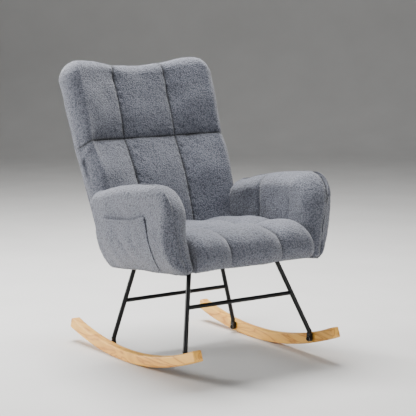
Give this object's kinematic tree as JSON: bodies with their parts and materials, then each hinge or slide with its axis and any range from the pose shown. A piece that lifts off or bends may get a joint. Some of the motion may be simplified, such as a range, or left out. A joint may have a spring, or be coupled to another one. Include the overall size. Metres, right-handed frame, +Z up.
{
  "type": "rocking chair",
  "caption": "Upholstered rocking chair with a tufted winged back, padded arms, a side pocket, a tubular steel leg frame and curved wooden rockers.",
  "frame": {"origin": "on the floor, at the middle of the chair's outline from above", "axes": "+Z up; the chair faces -Y; +X is the sitter's left; the side pocket is on the sitter's right arm, at -X"},
  "size_m": [0.6775, 0.8509, 0.9839],
  "materials": {
    "teddy_fabric": "matte",
    "rocker_wood": "satin",
    "black_steel": "satin",
    "zinc_steel": "satin",
    "plywood": "matte",
    "frame_timber": "matte",
    "elastic_webbing": "matte",
    "dust_cloth": "matte"
  },
  "bodies": {
    "root": {"left_rocker": "rocker_wood", "right_rocker": "rocker_wood", "front_left_leg": "black_steel", "front_right_leg": "black_steel", "rear_left_leg": "black_steel", "rear_right_leg": "black_steel", "front_crossbar": "black_steel", "rear_crossbar": "black_steel", "front_left_plate": "black_steel", "front_right_plate": "black_steel", "rear_left_plate": "black_steel", "rear_right_plate": "black_steel", "front_left_foot_lug": "black_steel", "front_right_foot_lug": "black_steel", "rear_left_foot_lug": "black_steel", "rear_right_foot_lug": "black_steel", "rocker_bolts": "black_steel", "rocker_washers": "zinc_steel", "rocker_inserts": "zinc_steel", "plate_bolts": "black_steel", "plate_tee_nuts": "zinc_steel", "seat_board": "plywood", "seat_front_rail": "frame_timber", "seat_rear_rail": "frame_timber", "seat_left_rail": "frame_timber", "seat_right_rail": "frame_timber", "seat_webbing_lengthwise": "elastic_webbing", "seat_webbing_crosswise": "elastic_webbing", "seat_cushion": "teddy_fabric", "seat_dust_cover": "dust_cloth", "back_left_post": "frame_timber", "back_right_post": "frame_timber", "back_top_rail": "frame_timber", "back_middle_rail": "frame_timber", "back_webbing": "elastic_webbing", "back_cushion": "teddy_fabric", "back_rear_panel": "teddy_fabric", "back_bolts": "zinc_steel", "back_tee_nuts": "zinc_steel", "left_arm_frame": "plywood", "right_arm_frame": "plywood", "left_arm_inner_pad": "teddy_fabric", "right_arm_inner_pad": "teddy_fabric", "left_arm_outer_pad": "teddy_fabric", "right_arm_outer_pad": "teddy_fabric", "arm_bolts": "zinc_steel", "arm_tee_nuts": "zinc_steel", "pocket_panel": "teddy_fabric", "pocket_hem": "teddy_fabric"}
  },
  "joints": []
}
